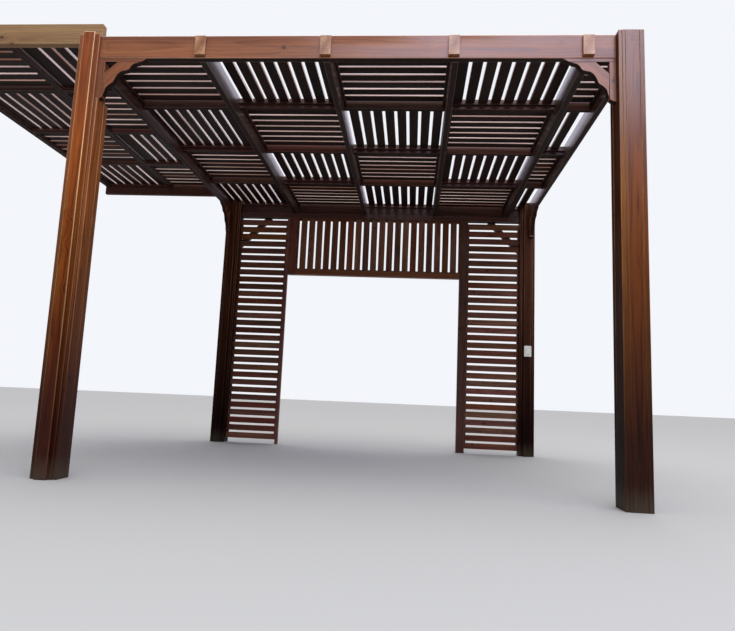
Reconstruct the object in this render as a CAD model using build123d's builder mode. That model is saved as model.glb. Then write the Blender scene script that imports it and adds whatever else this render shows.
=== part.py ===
from build123d import *
import os

os.makedirs("parts", exist_ok=True)

# ---------------------------------------------------------------- driving sizes, mm
# X runs along the front, Y runs from the front to the rear, Z is up.
# The sizes below are measured from the left face and the front face of the core of
# the front-left post. OX and OY move them so that the origin is the middle of the
# footprint of the whole frame, at the level of the post feet.
W = 3240            # the front-right post is the front-left one mirrored about W / 2
PX0, PX1 = -4, 144  # left and right faces of the front-left post
SIDE_T = 20         # boards on the left and right faces of the post
SIDE_SET = 7        # their front edge behind the front face of the core
POST_D = 131        # post core, front to back
FACE_W = 70         # board up the middle of the post face
FACE_T = 24         # its thickness
REAR_POST = 2950    # front face of the rear post cores
H = 2572            # post height
BEAM_T = 45         # front and rear beam thickness
BEAM_BOTTOM = 2428
TOP = 2568          # top of beams, rafters and cross beams
BEAM_SET = 20       # front face of the front beam behind the post face
RAF_W = 40          # thickness of rafters, cross beams and side beams
RAF_D = 140         # rafter depth
SIDE_D = 124        # side beam depth
CROSS_D = 72        # cross beam depth
TAIL = 20           # the block on each rafter end stands out past the beam
TAIL_W = 64
TAIL_Z0, TAIL_Z1 = 2440, 2558
PITCH = 741         # rafter spacing
SLAT_T = 20
SLAT_DROP = 8       # slat tops below the beam tops
CLEAT = 18          # cleats under the slat ends
FB_W = 65           # slats that run front to back
FB_GAP = 21.3
LR_W = 70           # slats that run left to right
WING_UP = 136       # the top of the side wing above the top of the main roof
WING_D = 54         # depth of the wing's rafter, cross beams and edge beam
WING_FB_W = 71      # the wing's slats that run front to back
WING_FB_P = 92      # and their spacing

half = RAF_W / 2
X_R = [732 + PITCH * k for k in range(4)]                      # rafter centres
X_T = [733, 1470, 2203, 2946]                                  # centres of their end blocks
FRONT_Y0, FRONT_Y1 = BEAM_SET, BEAM_SET + BEAM_T               # front beam
REAR_Y0, REAR_Y1 = 3026, 3026 + BEAM_T                         # rear beam
Y_C = [780, 1536, 2285]                                        # cross beam centres
RPOST_Y = REAR_POST
LB0, LB1 = 2, 2 + RAF_W                                        # left side beam
RB0, RB1 = W - 20 - RAF_W, W - 20                              # right side beam
WR1 = -621                                                     # wing rafter centre
WING_X0 = -1335
WR2 = WING_X0 + half                                           # wing edge beam centre
WE0, WE1 = -18, -18 + RAF_W                                    # wing bearer on the left beam
WF0, WF1 = 104, 104 + BEAM_T                                   # wing front beam
WR0, WRR1 = 2866, 2866 + RAF_W                                 # wing rear beam
WY_C = [840, 1541, 2241]                                       # wing cross beam centres
WING_END = 75                                                  # right end of the wing front beam
OX = (WING_X0 + W - PX0) / 2
OY = (-FACE_T + RPOST_Y + POST_D + FACE_T) / 2


def board(x0, x1, y0, y1, z0, z1, mode=Mode.ADD):
    """A squared board between two corners, in the part being built."""
    with Locations(((x0 + x1) / 2 - OX, (y0 + y1) / 2 - OY, (z0 + z1) / 2)):
        Box(x1 - x0, y1 - y0, z1 - z0, mode=mode)


def save(builder, name):
    builder.part.label = name
    export_step(builder.part, "parts/" + name + ".step")


# ---------------------------------------------------------------- posts
def post(name, x0, y0, rear, cut=None, flush=False):
    """A squared core with boards on its left and right faces and a proud board up the
    middle of its front face. The rear posts have one on both faces. cut is the height at
    which the right-hand side board stops, where a bracket and the beam take its place.
    A flush post has strips beside the middle board that fill its front out to the sides."""
    a, b = x0 + SIDE_T, x0 + PX1 - PX0 - SIDE_T
    f0, f1 = (a + b - FACE_W) / 2, (a + b + FACE_W) / 2
    s0, s1 = (0 if rear else SIDE_SET), POST_D
    with BuildPart() as p:
        board(a, b, y0, y0 + POST_D, 0, H)
        board(x0, a, y0 + s0, y0 + s1, 0, H)
        board(b, b + SIDE_T, y0 + s0, y0 + s1, 0, cut or H)
        board(f0, f1, y0 - FACE_T, y0, 0, H)
        if flush:
            board(x0, a, y0 - FACE_T, y0 + SIDE_SET, 0, H)
            board(a, b, y0 - FACE_T, y0, 0, H)
            board(b, b + FLUSH_END, y0 - FACE_T, y0 + SIDE_SET, 0, H)
        if rear:
            board(f0, f1, y0 + POST_D, y0 + POST_D + FACE_T, 0, H)
    save(p, name)


BRACKET_H = 254
FLUSH_END = 10
post("post_front_left", PX0, 0, False, cut=BEAM_BOTTOM - BRACKET_H)
post("post_front_right", W - PX1, 0, False, flush=True)
post("post_rear_left", PX0, RPOST_Y, True)
post("post_rear_right", W - PX1, RPOST_Y, True)

# ---------------------------------------------------------------- front and rear beams
# The rafters lap over both beams: each beam has a notch in its top for each rafter.
LAP = RAF_D / 2
for name, x0, y0, y1 in (("beam_front", PX1 - SIDE_T, FRONT_Y0, FRONT_Y1), ("beam_rear", PX1, REAR_Y0, REAR_Y1)):
    with BuildPart() as beam:
        board(x0, W - PX1, y0, y1, BEAM_BOTTOM, TOP)
        for x in X_R:
            board(x - half, x + half, y0 - 1, y1 + 1, TOP - LAP, TOP + 1, mode=Mode.SUBTRACT)
    save(beam, name)

# ---------------------------------------------------------------- rafters
# Each one ends in a wider block on the outer face of the front and of the rear beam.
for i, (x, xt) in enumerate(zip(X_R, X_T)):
    with BuildPart() as rafter:
        board(x - half, x + half, FRONT_Y1, REAR_Y0, TOP - RAF_D, TOP)
        board(x - half, x + half, FRONT_Y0, REAR_Y1, TOP - LAP, TOP)
        board(xt - TAIL_W / 2, xt + TAIL_W / 2, FRONT_Y0 - TAIL, FRONT_Y0, TAIL_Z0, TAIL_Z1)
        board(xt - TAIL_W / 2, xt + TAIL_W / 2, REAR_Y1, REAR_Y1 + TAIL, TAIL_Z0, TAIL_Z1)
    save(rafter, "rafter_%d" % (i + 1))

# ---------------------------------------------------------------- side beams
with BuildPart() as beam_left:
    board(LB0, LB1, POST_D, RPOST_Y - FACE_T, TOP - SIDE_D, TOP)
    board(LB0, LB1 - 8, RPOST_Y - FACE_T, RPOST_Y, TOP - SIDE_D, TOP)
save(beam_left, "beam_left")
with BuildPart() as beam_right:
    board(RB0, RB1, POST_D, RPOST_Y - FACE_T, TOP - SIDE_D, TOP)
save(beam_right, "beam_right")

# ---------------------------------------------------------------- cross beams
COLS = [(LB1, X_R[0] - half)]
COLS += [(X_R[k] + half, X_R[k + 1] - half) for k in range(3)]
COLS += [(X_R[3] + half, RB0)]
for k, y in enumerate(Y_C):
    with BuildPart() as cross:
        for x0, x1 in COLS:
            board(x0, x1, y - half, y + half, TOP - CROSS_D, TOP)
    save(cross, "cross_beam_%d" % (k + 1))

# ---------------------------------------------------------------- roof slats
ROWS = [(FRONT_Y1, Y_C[0] - half), (Y_C[0] + half, Y_C[1] - half), (Y_C[1] + half, Y_C[2] - half), (Y_C[2] + half, REAR_Y0)]

FB_START = [0, 31, 22, 10, 11]     # first slat of each column, from the left of its cells
FB_COUNT = [0, 8, 8, 8, 2]
GAPS_1 = [76, 156, 238, 320, 402, 484, 566, 648]    # the first column's gaps are closer
GAP_1 = 17


def runs(c, x0, x1):
    """Left and right edges of the slats that run front to back in one cell."""
    if c == 0:
        left = [x0] + [g + GAP_1 / 2 for g in GAPS_1]
        right = [g - GAP_1 / 2 for g in GAPS_1] + [x1]
        return list(zip(left, right))
    first, step = x0 + FB_START[c], FB_W + FB_GAP
    return [(first + n * step, first + n * step + FB_W) for n in range(FB_COUNT[c])]


def wing_runs(c, x0, x1):
    """The same on the wing. The slat beside the rafter is a wider one."""
    out = []
    for n in range(14):
        b = -22.5 - n * WING_FB_P
        a = b - WING_FB_W
        if c == 1 and n == 5:
            a = x0 + 9
        if a >= x0 and b <= x1:
            out.append((a, b))
    return out


def front_to_back(x0, x1, y0, y1, z, slats):
    """Slats along Y, on a cleat at each end."""
    for a, b in slats:
        board(a, b, y0, y1, z, z + SLAT_T)
    board(x0, x1, y0, y0 + CLEAT, z - CLEAT, z)
    board(x0, x1, y1 - CLEAT, y1, z - CLEAT, z)


# gap behind the last slat of each row, and the spacing of the slats in it
LR_ROWS = [(20, 89.4), (28, 90.7), (20, 90), (20, 90)]


def left_to_right(x0, x1, y0, y1, z, row):
    """Slats along X, set out from the rear. The front one is cut to what is left."""
    end, step = row
    b = y1 - end
    while b - y0 > 12:
        board(x0, x1, max(b - LR_W, y0), b, z, z + SLAT_T)
        b -= step
    board(x0, x0 + CLEAT, y0, y1, z - CLEAT, z)
    board(x1 - CLEAT, x1, y0, y1, z - CLEAT, z)


Z_SLAT = TOP - SLAT_DROP - SLAT_T
for c, (x0, x1) in enumerate(COLS):
    with BuildPart() as slats:
        for r, (y0, y1) in enumerate(ROWS):
            if (r + c) % 2 == 1:
                front_to_back(x0, x1, y0, y1, Z_SLAT, runs(c, x0, x1))
            else:
                left_to_right(x0, x1, y0, y1, Z_SLAT, LR_ROWS[r])
        # the corner cells are cut around the posts
        if c == 0:
            board(PX0, PX1 - SIDE_T, -1, POST_D, Z_SLAT - CLEAT - 1, Z_SLAT + SLAT_T + 1, mode=Mode.SUBTRACT)
            board(PX0, PX1, RPOST_Y, RPOST_Y + POST_D + 1, Z_SLAT - CLEAT - 1, Z_SLAT + SLAT_T + 1, mode=Mode.SUBTRACT)
            board(35, 105, RPOST_Y - FACE_T, RPOST_Y + 1, Z_SLAT - CLEAT - 1, Z_SLAT + SLAT_T + 1, mode=Mode.SUBTRACT)
        if c == 4:
            board(W - PX1, W - PX0, -1, POST_D, Z_SLAT - CLEAT - 1, Z_SLAT + SLAT_T + 1, mode=Mode.SUBTRACT)
            board(W - PX1, W - PX0, RPOST_Y, RPOST_Y + POST_D + 1, Z_SLAT - CLEAT - 1, Z_SLAT + SLAT_T + 1, mode=Mode.SUBTRACT)
            board(W - 105, W - 35, RPOST_Y - FACE_T, RPOST_Y + 1, Z_SLAT - CLEAT - 1, Z_SLAT + SLAT_T + 1, mode=Mode.SUBTRACT)
    save(slats, "roof_slats_%d" % (c + 1))

# ---------------------------------------------------------------- side wing
# A second, narrower roof, one beam depth higher. Its front beam rests on the top of the
# front-left post, its bearer lies on the left side beam, and its rear beam lies there too.
WTOP = TOP + WING_UP
with BuildPart() as wing_front:
    board(WING_X0, WING_END, WF0, WF1, H, WTOP)
save(wing_front, "wing_beam_front")
with BuildPart() as wing_rear:
    board(WING_X0, LB1, WR0, WRR1, TOP, WTOP)
save(wing_rear, "wing_beam_rear")
WY0, WY1 = WF1, WR0
with BuildPart() as wing_bearer:
    board(WE0, WE1, WY0, WY1, TOP, WTOP)
save(wing_bearer, "wing_bearer")
with BuildPart() as wing_rafter:
    board(WR1 - half, WR1 + half, WY0, WY1, WTOP - WING_D, WTOP)
save(wing_rafter, "wing_rafter")
with BuildPart() as wing_edge:
    board(WR2 - half, WR2 + half, WY0, WY1, WTOP - WING_D, WTOP)
save(wing_edge, "wing_edge_beam")
WCOLS = [(WR2 + half, WR1 - half), (WR1 + half, WE0)]
for k, y in enumerate(WY_C):
    with BuildPart() as cross:
        for x0, x1 in WCOLS:
            board(x0, x1, y - half, y + half, WTOP - WING_D, WTOP)
    save(cross, "wing_cross_beam_%d" % (k + 1))
WROWS = [(WY0, WY_C[0] - half), (WY_C[0] + half, WY_C[1] - half), (WY_C[1] + half, WY_C[2] - half), (WY_C[2] + half, WY1)]
for c, (x0, x1) in enumerate(WCOLS):
    with BuildPart() as slats:
        for r, (y0, y1) in enumerate(WROWS):
            if (r + c) % 2 == 1:
                front_to_back(x0, x1, y0, y1, Z_SLAT + WING_UP, wing_runs(c, x0, x1))
            else:
                left_to_right(x0, x1, y0, y1, Z_SLAT + WING_UP, LR_ROWS[3])
    save(slats, "wing_slats_%s" % ("left", "right")[c])

# ---------------------------------------------------------------- rear screen
S_Y0, S_Y1 = 3000, 3020          # slat thickness
RAIL_Y0, RAIL_Y1 = 2985, 3055    # rails and stiles
RAIL_TOP0 = 2378                 # underside of the top rail
RAIL_LOW0, RAIL_LOW1 = 1765, 1819
TRIM0, TRIM1 = 652, 680          # strip at the end of the left screen
STILE1 = 765
MID0, MID1 = 2485, 2565          # square post at the right of the opening

with BuildPart() as top_rail:
    board(PX1, W - PX1, RAIL_Y0, RAIL_Y1, RAIL_TOP0, BEAM_BOTTOM)
save(top_rail, "screen_top_rail")
with BuildPart() as low_rail:
    board(STILE1, MID0, RAIL_Y0, RAIL_Y1, RAIL_LOW0, RAIL_LOW1)
save(low_rail, "header_rail")
with BuildPart() as trim:
    board(TRIM0, TRIM1, S_Y0 - 12, S_Y1 + 12, 0, RAIL_TOP0)
save(trim, "screen_trim_left")
with BuildPart() as stile:
    board(TRIM1, STILE1, RAIL_Y0, RAIL_Y1, RAIL_LOW0, RAIL_TOP0)
save(stile, "header_stile")
with BuildPart() as mid_post:
    board(MID0, MID1, RAIL_Y0 - 5, RAIL_Y1 + 5, 0, RAIL_TOP0)
save(mid_post, "post_middle")

N_SCREEN, SCREEN_W, SCREEN_P, SCREEN_Z = 30, 57, 77.6, 45
for name, x0, x1 in (("screen_slats_left", PX1, TRIM0), ("screen_slats_right", MID1, W - PX1)):
    with BuildPart() as screen:
        for n in range(N_SCREEN):
            z = SCREEN_Z + n * SCREEN_P
            board(x0, x1, S_Y0, S_Y1, z, z + SCREEN_W)
        # the slats are nailed to an upright cleat at each end
        for a in (x0, x1 - CLEAT):
            board(a, a + CLEAT, S_Y1, S_Y1 + CLEAT, SCREEN_Z, SCREEN_Z + (N_SCREEN - 1) * SCREEN_P + SCREEN_W)
    save(screen, name)

N_HEAD, HEAD_W, HEAD_G, HEAD_END = 20, 63.4, 20.0, 16.0
with BuildPart() as header:
    board(STILE1, STILE1 + HEAD_END, S_Y0, S_Y1, RAIL_LOW1, RAIL_TOP0)
    board(MID0 - HEAD_END, MID0, S_Y0, S_Y1, RAIL_LOW1, RAIL_TOP0)
    for n in range(N_HEAD):
        a = STILE1 + HEAD_END + HEAD_G + n * (HEAD_W + HEAD_G)
        board(a, a + HEAD_W, S_Y0, S_Y1, RAIL_LOW1, RAIL_TOP0)
    for z in (RAIL_LOW1, RAIL_TOP0 - CLEAT):
        board(STILE1, MID0, S_Y1, S_Y1 + CLEAT, z, z + CLEAT)
save(header, "header_slats")

# straight braces behind the slats, from each rear post up to the top rail
BR_Y0, BR_Y1 = 3040, 3076
LEG, BR_W = 330, 80
for name, sx, xp in (("brace_rear_left", 1, PX1), ("brace_rear_right", -1, W - PX1)):
    with BuildPart() as brace:
        with BuildSketch(Plane.XZ.offset(-(BR_Y1 - OY))):
            with BuildLine():
                Polyline(
                    (xp - OX, RAIL_TOP0 - LEG),
                    (xp + sx * LEG - OX, RAIL_TOP0),
                    (xp + sx * (LEG - BR_W) - OX, RAIL_TOP0),
                    (xp - OX, RAIL_TOP0 - LEG + BR_W),
                    close=True,
                )
            make_face()
        extrude(amount=BR_Y1 - BR_Y0)
    save(brace, name)

# ---------------------------------------------------------------- carved corner brackets
# The lower edge is a scalloped ogee; u runs out from the post, v runs down from the beam.
OGEE = [(288, 0), (262, 16), (236, 26), (212, 32), (194, 48), (184, 66), (164, 74), (142, 78), (120, 94), (104, 122), (92, 148), (72, 162), (52, 184), (43, 214), (34, 240), (14, 252), (0, 254)]
HOLE = [(110, 22), (36, 22), (36, 91)]


def bracket(name, plane, s, o, z_top, thick):
    with BuildPart() as b:
        with BuildSketch(plane):
            with BuildLine():
                Polyline([(o, z_top)] + [(o + s * u, z_top - v) for u, v in OGEE], close=True)
            make_face()
            with BuildLine():
                Polyline([(o + s * u, z_top - v) for u, v in HOLE], close=True)
            make_face(mode=Mode.SUBTRACT)
        extrude(amount=thick)
    save(b, name)


BK = 38
bracket("bracket_front_left", Plane.XZ.offset(-(24 + BK - OY)), 1, PX1 - SIDE_T - OX, BEAM_BOTTOM, BK)
bracket("bracket_front_right", Plane.XZ.offset(-(24 + BK - OY)), -1, W - PX1 - OX, BEAM_BOTTOM, BK)
# The left side bracket stands beside the board of its post, and the right one on the board.
BK_L = 31
bracket("bracket_side_left", Plane.YZ.offset(LB0 + 1 - OX), -1, RPOST_Y - OY, TOP - SIDE_D, BK_L)
bracket("bracket_side_right", Plane.YZ.offset(RB0 + 1 - OX), -1, RPOST_Y - FACE_T - OY, TOP - SIDE_D, BK)

# ---------------------------------------------------------------- switch box on the rear right post
with BuildPart() as box:
    board(W - 105, W - 35, RPOST_Y - FACE_T - 26, RPOST_Y - FACE_T, 977, 1085)
    fillet(box.edges().filter_by(Axis.Y), 5)
save(box, "switch_box")
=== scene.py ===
import math
import random

import bpy
from mathutils import Matrix, Vector
from mathutils.geometry import tessellate_polygon


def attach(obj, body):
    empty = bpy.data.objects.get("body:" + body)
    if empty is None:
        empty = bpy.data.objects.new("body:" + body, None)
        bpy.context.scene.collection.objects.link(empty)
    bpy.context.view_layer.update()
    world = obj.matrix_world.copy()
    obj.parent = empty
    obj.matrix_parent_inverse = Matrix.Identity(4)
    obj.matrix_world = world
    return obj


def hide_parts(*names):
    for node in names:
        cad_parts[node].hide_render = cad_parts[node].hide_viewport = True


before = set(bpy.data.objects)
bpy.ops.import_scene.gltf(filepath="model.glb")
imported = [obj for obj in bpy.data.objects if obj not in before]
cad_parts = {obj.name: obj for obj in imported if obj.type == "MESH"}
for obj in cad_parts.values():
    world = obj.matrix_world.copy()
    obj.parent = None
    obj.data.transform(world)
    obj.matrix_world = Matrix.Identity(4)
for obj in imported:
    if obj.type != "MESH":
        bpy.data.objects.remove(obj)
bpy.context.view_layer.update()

# ---------------------------------------------------------------- sizes, mm, as in the CAD
# X and Y are measured from the core of the front-left post; OX and OY move them to the frame.
OX, OY = 954.5, 1540.5
W, POST_D, FACE_W, FACE_T = 3240.0, 131.0, 70.0, 24.0
PX0, PX1, SIDE_T, SIDE_SET, BRACKET_H = -4.0, 144.0, 20.0, 7.0, 254.0
H, TOP, BEAM_BOTTOM, BEAM_T = 2572.0, 2568.0, 2428.0, 45.0
RAF_W, RAF_D, SIDE_D, CROSS_D, PITCH = 40.0, 140.0, 124.0, 72.0, 741.0
TAIL, TAIL_W, TAIL_Z0, TAIL_Z1 = 20.0, 64.0, 2440.0, 2558.0
HALF, LAP = RAF_W / 2, RAF_D / 2
X_R = [732 + PITCH * k for k in range(4)]
X_T = [733.0, 1470.0, 2203.0, 2946.0]
FRONT_Y0, FRONT_Y1 = 20.0, 20.0 + BEAM_T
REAR_Y0, REAR_Y1 = 3026.0, 3026.0 + BEAM_T
Y_C = [780.0, 1536.0, 2285.0]
RP = 2950.0
LB0, LB1 = 2.0, 42.0
RB0, RB1 = W - 60, W - 20
WR1 = -621.0
WING_X0 = -1335.0
WR2 = WING_X0 + HALF
WE0, WE1 = -18.0, 22.0
WF0, WF1 = 104.0, 149.0
WR0, WRR1 = 2866.0, 2906.0
WY_C = [840.0, 1541.0, 2241.0]
WING_END, WING_D, WING_UP = 75.0, 54.0, 136.0
WTOP = TOP + WING_UP
SLAT_T, CLEAT = 20.0, 18.0
Z_SLAT = TOP - 8 - SLAT_T
COLS = [(LB1, X_R[0] - HALF)] + [(X_R[k] + HALF, X_R[k + 1] - HALF) for k in range(3)] + [(X_R[3] + HALF, RB0)]
ROWS = [(FRONT_Y1, Y_C[0] - HALF), (Y_C[0] + HALF, Y_C[1] - HALF), (Y_C[1] + HALF, Y_C[2] - HALF), (Y_C[2] + HALF, REAR_Y0)]

rng = random.Random(41)
AX = {"x": Vector((1, 0, 0)), "y": Vector((0, 1, 0)), "z": Vector((0, 0, 1))}
CROSS = {"x": ("y", "z"), "y": ("z", "x"), "z": ("x", "y")}


def lin(r, g, b):
    """sRGB 0-255 to a linear colour."""
    out = []
    for c in (r, g, b):
        c /= 255.0
        out.append(c / 12.92 if c <= 0.04045 else ((c + 0.055) / 1.055) ** 2.4)
    return (*out, 1.0)


# ---------------------------------------------------------------- wood
class Tree:
    """Small helper for node trees."""

    def __init__(self, mat):
        mat.use_nodes = True
        self.nt = mat.node_tree
        self.nt.nodes.clear()

    def add(self, kind, **values):
        node = self.nt.nodes.new(kind)
        for key, value in values.items():
            setattr(node, key, value)
        return node

    def put(self, node, name, value):
        sock = node.inputs[name]
        if isinstance(value, bpy.types.NodeSocket):
            self.nt.links.new(value, sock)
        else:
            sock.default_value = value

    def math(self, op, a, b=None, c=None, clamp=False):
        node = self.add("ShaderNodeMath", operation=op, use_clamp=clamp)
        for i, v in enumerate((a, b, c)):
            if v is not None:
                self.put(node, i, v)
        return node.outputs[0]

    def vmath(self, op, a, b=None, scale=None):
        node = self.add("ShaderNodeVectorMath", operation=op)
        self.put(node, 0, a)
        if b is not None:
            self.put(node, 1, b)
        if scale is not None:
            self.put(node, "Scale", scale)
        return node.outputs["Value"] if op == "LENGTH" else node.outputs[0]

    def noise(self, vec, scale, detail=2.0, rough=0.5, dist=0.0):
        node = self.add("ShaderNodeTexNoise")
        self.put(node, "Vector", vec)
        self.put(node, "Scale", scale)
        self.put(node, "Detail", detail)
        self.put(node, "Roughness", rough)
        self.put(node, "Distortion", dist)
        return node

    def ramp(self, fac, stops):
        node = self.add("ShaderNodeValToRGB")
        self.put(node, 0, fac)
        el = node.color_ramp.elements
        while len(el) > 1:
            el.remove(el[-1])
        for i, (pos, col) in enumerate(stops):
            e = el[0] if i == 0 else el.new(pos)
            e.position = pos
            e.color = col if len(col) == 4 else (*col, 1.0)
        return node.outputs[0]

    def span(self, fac, a, b, c=0.0, d=1.0):
        node = self.add("ShaderNodeMapRange")
        for i, v in enumerate((fac, a, b, c, d)):
            self.put(node, i, v)
        return node.outputs[0]

    def mix(self, fac, a, b, blend="MIX"):
        node = self.add("ShaderNodeMix", data_type="RGBA", blend_type=blend)
        for i, v in ((0, fac), (6, a), (7, b)):
            self.put(node, i, v)
        return node.outputs[2]


def wood(name, light, dark, red, worn, rings=0.55, streak=0.6, wear=0.7, foot_shade_and_splash=0.0, rough=(0.34, 0.58), coat=0.3, knots=1.0, tone=0.30, spec=0.5, painted_side_light=None, high=False):
    """Stained softwood. Its grain follows each board by the vertex attribute gl, which
    holds the place inside the board in metres, with the length along z."""
    mat = bpy.data.materials.new(name)
    t = Tree(mat)
    out = t.add("ShaderNodeOutputMaterial")
    bsdf = t.add("ShaderNodeBsdfPrincipled")
    t.nt.links.new(bsdf.outputs[0], out.inputs[0])
    g = t.add("ShaderNodeAttribute", attribute_name="gl").outputs["Vector"]
    br = t.add("ShaderNodeSeparateColor")
    t.put(br, 0, t.add("ShaderNodeAttribute", attribute_name="br").outputs["Color"])
    ed = t.add("ShaderNodeAttribute", attribute_name="ed").outputs["Fac"]
    ht = t.add("ShaderNodeAttribute", attribute_name="ht").outputs["Fac"]

    # knots: small round cells, about one every half metre of board
    kn_w = t.noise(t.vmath("MULTIPLY", g, (14, 14, 9)), 1.0, 2.0)
    kn_v = t.vmath("ADD", g, t.vmath("SCALE", t.vmath("SUBTRACT", kn_w.outputs["Color"], (0.5, 0.5, 0.5)), scale=0.016))
    vor = t.add("ShaderNodeTexVoronoi", feature="F1")
    t.put(vor, "Vector", kn_v)
    t.put(vor, "Scale", 6.2)
    t.put(vor, "Randomness", 1.0)
    kd = vor.outputs["Distance"]
    knot = t.math("MULTIPLY", t.span(kd, 0.055, 0.085, 1.0, 0.0), knots)
    halo = t.math("MULTIPLY", t.span(kd, 0.07, 0.34, 1.0, 0.0), knots)

    # growth rings round a pith outside the board, bent by slow noise and round the knots
    slow = t.noise(t.vmath("MULTIPLY", g, (5.0, 5.0, 0.75)), 1.0, 2.0, 0.45)
    bend = t.vmath("MULTIPLY", t.vmath("SUBTRACT", slow.outputs["Color"], (0.5, 0.5, 0.5)), (0.075, 0.075, 0.0))
    flat = t.vmath("MULTIPLY", t.vmath("ADD", g, bend), (1.0, 1.0, 0.0))
    radius = t.vmath("LENGTH", flat)
    radius = t.math("ADD", radius, t.math("MULTIPLY", t.math("POWER", halo, 2.0), 0.018))
    ripple = t.noise(t.vmath("MULTIPLY", g, (60, 60, 1.5)), 1.0, 2.0).outputs["Fac"]
    radius = t.math("ADD", radius, t.math("MULTIPLY", ripple, 0.004))
    ring = t.math("FRACT", t.math("DIVIDE", radius, 0.0085))
    late = t.ramp(ring, [(0.0, (0.12, 0.12, 0.12)), (0.45, (0.3, 0.3, 0.3)), (0.78, (0.95, 0.95, 0.95)), (0.9, (1, 1, 1)), (1.0, (0.12, 0.12, 0.12))])

    mid = t.noise(t.vmath("MULTIPLY", g, (75, 75, 1.1)), 1.0, 4.0, 0.6).outputs["Fac"]
    fib = t.noise(t.vmath("MULTIPLY", g, (620, 620, 9)), 1.0, 3.0, 0.65).outputs["Fac"]
    blot = t.noise(t.vmath("MULTIPLY", g, (9, 9, 1.6)), 1.0, 3.0, 0.55).outputs["Fac"]
    run = t.noise(t.vmath("MULTIPLY", g, (26, 26, 0.5)), 1.0, 2.0, 0.5).outputs["Fac"]

    depth = t.math("MULTIPLY", late, rings)
    depth = t.math("ADD", depth, t.math("MULTIPLY", t.span(mid, 0.34, 0.68), streak))
    depth = t.math("DIVIDE", depth, rings + streak)
    col = t.mix(depth, lin(*light), lin(*dark))
    col = t.mix(t.math("MULTIPLY", t.span(run, 0.42, 0.66), 0.75), col, t.mix(depth, lin(*red), lin(*[c * 0.62 for c in red])))
    # stain taken up unevenly, and fine pores
    col = t.mix(t.span(blot, 0.35, 0.7, 0.0, 0.45), col, t.mix(1.0, col, (0.52, 0.47, 0.44, 1), "MULTIPLY"))
    col = t.mix(t.span(fib, 0.5, 0.72, 0.0, 0.5), col, t.mix(1.0, col, (0.42, 0.36, 0.33, 1), "MULTIPLY"))
    # each board's own tone: paler or darker, and redder or yellower
    value = t.span(br.outputs[0], 0.0, 1.0, 1.0 - tone, 1.0 + tone)
    hsv = t.add("ShaderNodeHueSaturation")
    t.put(hsv, "Hue", t.span(br.outputs[1], 0.0, 1.0, 0.488, 0.512))
    t.put(hsv, "Saturation", t.span(br.outputs[2], 0.0, 1.0, 0.88, 1.1))
    t.put(hsv, "Value", value)
    t.put(hsv, "Color", col)
    col = hsv.outputs[0]
    # knots
    col = t.mix(t.math("MULTIPLY", t.math("POWER", halo, 3.0), 0.35), col, t.mix(1.0, col, (0.62, 0.5, 0.42, 1), "MULTIPLY"))
    col = t.mix(t.math("MULTIPLY", knot, 0.85), col, t.mix(1.0, col, (0.22, 0.14, 0.10, 1), "MULTIPLY"))
    if painted_side_light:
        # painted highlight: the narrow sides of the slats are made pale to stand in for the light that falls through
        # the gaps
        side = t.add("ShaderNodeAttribute", attribute_name="sd").outputs["Fac"]
        pale = t.mix(t.span(br.outputs[0], 0.35, 0.95), lin(*painted_side_light), lin(150, 104, 84))
        col = t.mix(t.math("MULTIPLY", side, t.span(mid, 0.3, 0.7, 0.95, 0.6)), col, t.mix(t.span(mid, 0.3, 0.7), pale, t.mix(1.0, pale, (0.6, 0.57, 0.55, 1), "MULTIPLY")))
    if foot_shade_and_splash:
        # painted shade: the wood darkens towards the foot of the post, and the lowest 13 cm turn greyer
        low = t.math("ADD", ht, t.math("MULTIPLY", t.math("SUBTRACT", run, 0.5), 0.5))
        col = t.mix(t.span(low, 1.7, 0.35, 0.0, foot_shade_and_splash), col, t.mix(1.0, col, (0.13, 0.07, 0.06, 1), "MULTIPLY"))
        splash = t.math("ADD", ht, t.math("MULTIPLY", t.math("SUBTRACT", mid, 0.5), 0.16))
        col = t.mix(t.span(splash, 0.13, 0.02, 0.0, 0.5), col, lin(74, 66, 54))
    # worn arrises, pale where the stain is rubbed through
    rub = t.noise(t.vmath("MULTIPLY", g, (30, 30, 5)), 1.0, 3.0, 0.6).outputs["Fac"]
    edge = t.math("MULTIPLY", t.math("MULTIPLY", ed, t.span(rub, 0.25, 0.6, 0.35, 1.0)), wear, clamp=True)
    worn_c = t.mix(t.span(mid, 0.3, 0.7), lin(*worn), lin(*[c * 0.72 for c in worn]))
    if foot_shade_and_splash:
        # painted shade on the worn arrises too, darker towards the foot
        worn_c = t.mix(t.span(ht, 1.7, 0.3, 0.0, foot_shade_and_splash), worn_c, t.mix(1.0, worn_c, (0.12, 0.08, 0.07, 1), "MULTIPLY"))
    col = t.mix(edge, col, worn_c)
    t.put(bsdf, "Base Color", col)

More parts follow.
